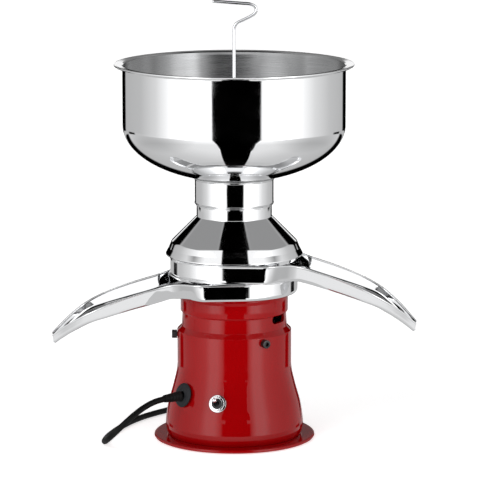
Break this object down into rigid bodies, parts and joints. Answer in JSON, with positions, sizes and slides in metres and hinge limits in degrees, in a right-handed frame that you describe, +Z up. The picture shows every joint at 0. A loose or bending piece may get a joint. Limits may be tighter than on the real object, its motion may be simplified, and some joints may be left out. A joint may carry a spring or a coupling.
{
  "type": "cream separator",
  "caption": "Electric centrifugal cream separator: milk bowl on a float chamber and cone cover, two spouted receivers over a spinning disc drum, motor in a red flared housing, with mains lead.",
  "frame": {"origin": "on the table, on the drum's axis, at the centre of the rubber feet", "axes": "+Z up along the drum's axis, +X to the cream spout's side, -Y to the front where the switch is"},
  "size_m": [0.432, 0.3782, 0.5228],
  "materials": {
    "red_paint": "gloss enamel on cast aluminium",
    "polished_metal": "mirror polished, brushed inside the bowl",
    "disc_metal": "satin",
    "steel": "turned and ground",
    "black_steel": "black oxide",
    "cast_metal": "as cast, machined faces",
    "lamination": "stacked laminations",
    "copper": "enamelled copper wire",
    "brass": "machined brass",
    "carbon": "pressed carbon",
    "chrome": "bright chrome plate",
    "black_plastic": "moulded",
    "rubber": "moulded black rubber",
    "cord_rubber": "extruded black sheath",
    "float_plastic": "food-grade moulding"
  },
  "bodies": {
    "housing": {"base_plate": "red_paint", "rubber_foot_1": "rubber", "rubber_foot_2": "rubber", "rubber_foot_3": "rubber", "rubber_foot_4": "rubber", "base_screw_1": "steel", "base_screw_2": "steel", "base_screw_3": "steel", "motor_housing": "red_paint", "mount_screw_1": "black_steel", "mount_screw_2": "black_steel", "mount_screw_3": "black_steel", "upper_bracket": "cast_metal", "lower_bracket": "cast_metal", "motor_bolt_1": "steel", "motor_bolt_2": "steel", "upper_bearing": "steel", "lower_bearing": "steel", "spindle_seal": "rubber", "stator_core": "lamination", "field_coil_1": "copper", "field_coil_2": "copper", "brush_holder_1": "brass", "brush_holder_2": "brass", "carbon_brush_1": "carbon", "carbon_brush_2": "carbon", "switch_body": "black_plastic", "switch_nut": "chrome", "cord_grommet": "rubber", "strain_relief": "cord_rubber", "mains_cord": "cord_rubber", "cord_coil": "cord_rubber", "cord_tail": "cord_rubber", "mains_plug": "black_plastic"},
    "rotor": {"spindle": "steel", "armature_core": "lamination", "armature_winding": "copper", "commutator": "copper", "cooling_fan": "black_plastic", "drum_base": "steel", "drum_gasket": "rubber", "disc_carrier": "steel", "disc_1": "disc_metal", "disc_2": "disc_metal", "disc_3": "disc_metal", "disc_4": "disc_metal", "disc_5": "disc_metal", "separating_disc": "steel", "drum_cover": "steel", "cream_screw": "brass", "drum_nut": "steel"},
    "switch_lever": {"switch_lever": "chrome"},
    "skim_pan": {"skim_receiver": "polished_metal"},
    "cream_pan": {"cream_receiver": "polished_metal"},
    "cover": {"receiver_cover": "polished_metal"},
    "float_chamber": {"float_chamber": "polished_metal"},
    "float": {"float": "float_plastic"},
    "bowl": {"milk_bowl": "polished_metal"},
    "stopper": {"stopper_plug": "rubber"},
    "stopper_rod": {"stopper_rod": "chrome"}
  },
  "joints": [
    {"name": "drum_spin", "type": "hinge", "parent": "housing", "child": "rotor", "pos_m": [0, 0, 0.14], "axis": [0, 0, 1], "continuous": true},
    {"name": "switch_toggle", "type": "hinge", "parent": "housing", "child": "switch_lever", "pos_m": [-0.01944, -0.07254, 0.056], "axis": [0.9659, -0.2588, 0], "range_deg": [0, 24]},
    {"name": "skim_spout_swivel", "type": "hinge", "parent": "housing", "child": "skim_pan", "pos_m": [0, 0, 0.178], "axis": [0, 0, 1], "range_deg": [-45, 45]},
    {"name": "cream_spout_swivel", "type": "hinge", "parent": "housing", "child": "cream_pan", "pos_m": [0, 0, 0.199], "axis": [0, 0, 1], "range_deg": [-45, 45]},
    {"name": "cover_lift", "type": "slide", "parent": "cream_pan", "child": "cover", "axis": [0, 0, 1], "range_m": [0, 0.09]},
    {"name": "float_chamber_lift", "type": "slide", "parent": "cover", "child": "float_chamber", "axis": [0, 0, 1], "range_m": [0, 0.1]},
    {"name": "float_rise", "type": "slide", "parent": "float_chamber", "child": "float", "axis": [0, 0, 1], "range_m": [0, 0.009]},
    {"name": "bowl_lift", "type": "slide", "parent": "float_chamber", "child": "bowl", "axis": [0, 0, 1], "range_m": [0, 0.08]},
    {"name": "stopper_lift", "type": "slide", "parent": "bowl", "child": "stopper", "axis": [0, 0, 1], "range_m": [0, 0.15]},
    {"name": "stopper_turn", "type": "hinge", "parent": "stopper", "child": "stopper_rod", "pos_m": [0, 0, 0.318], "axis": [0, 0, 1], "continuous": true}
  ]
}
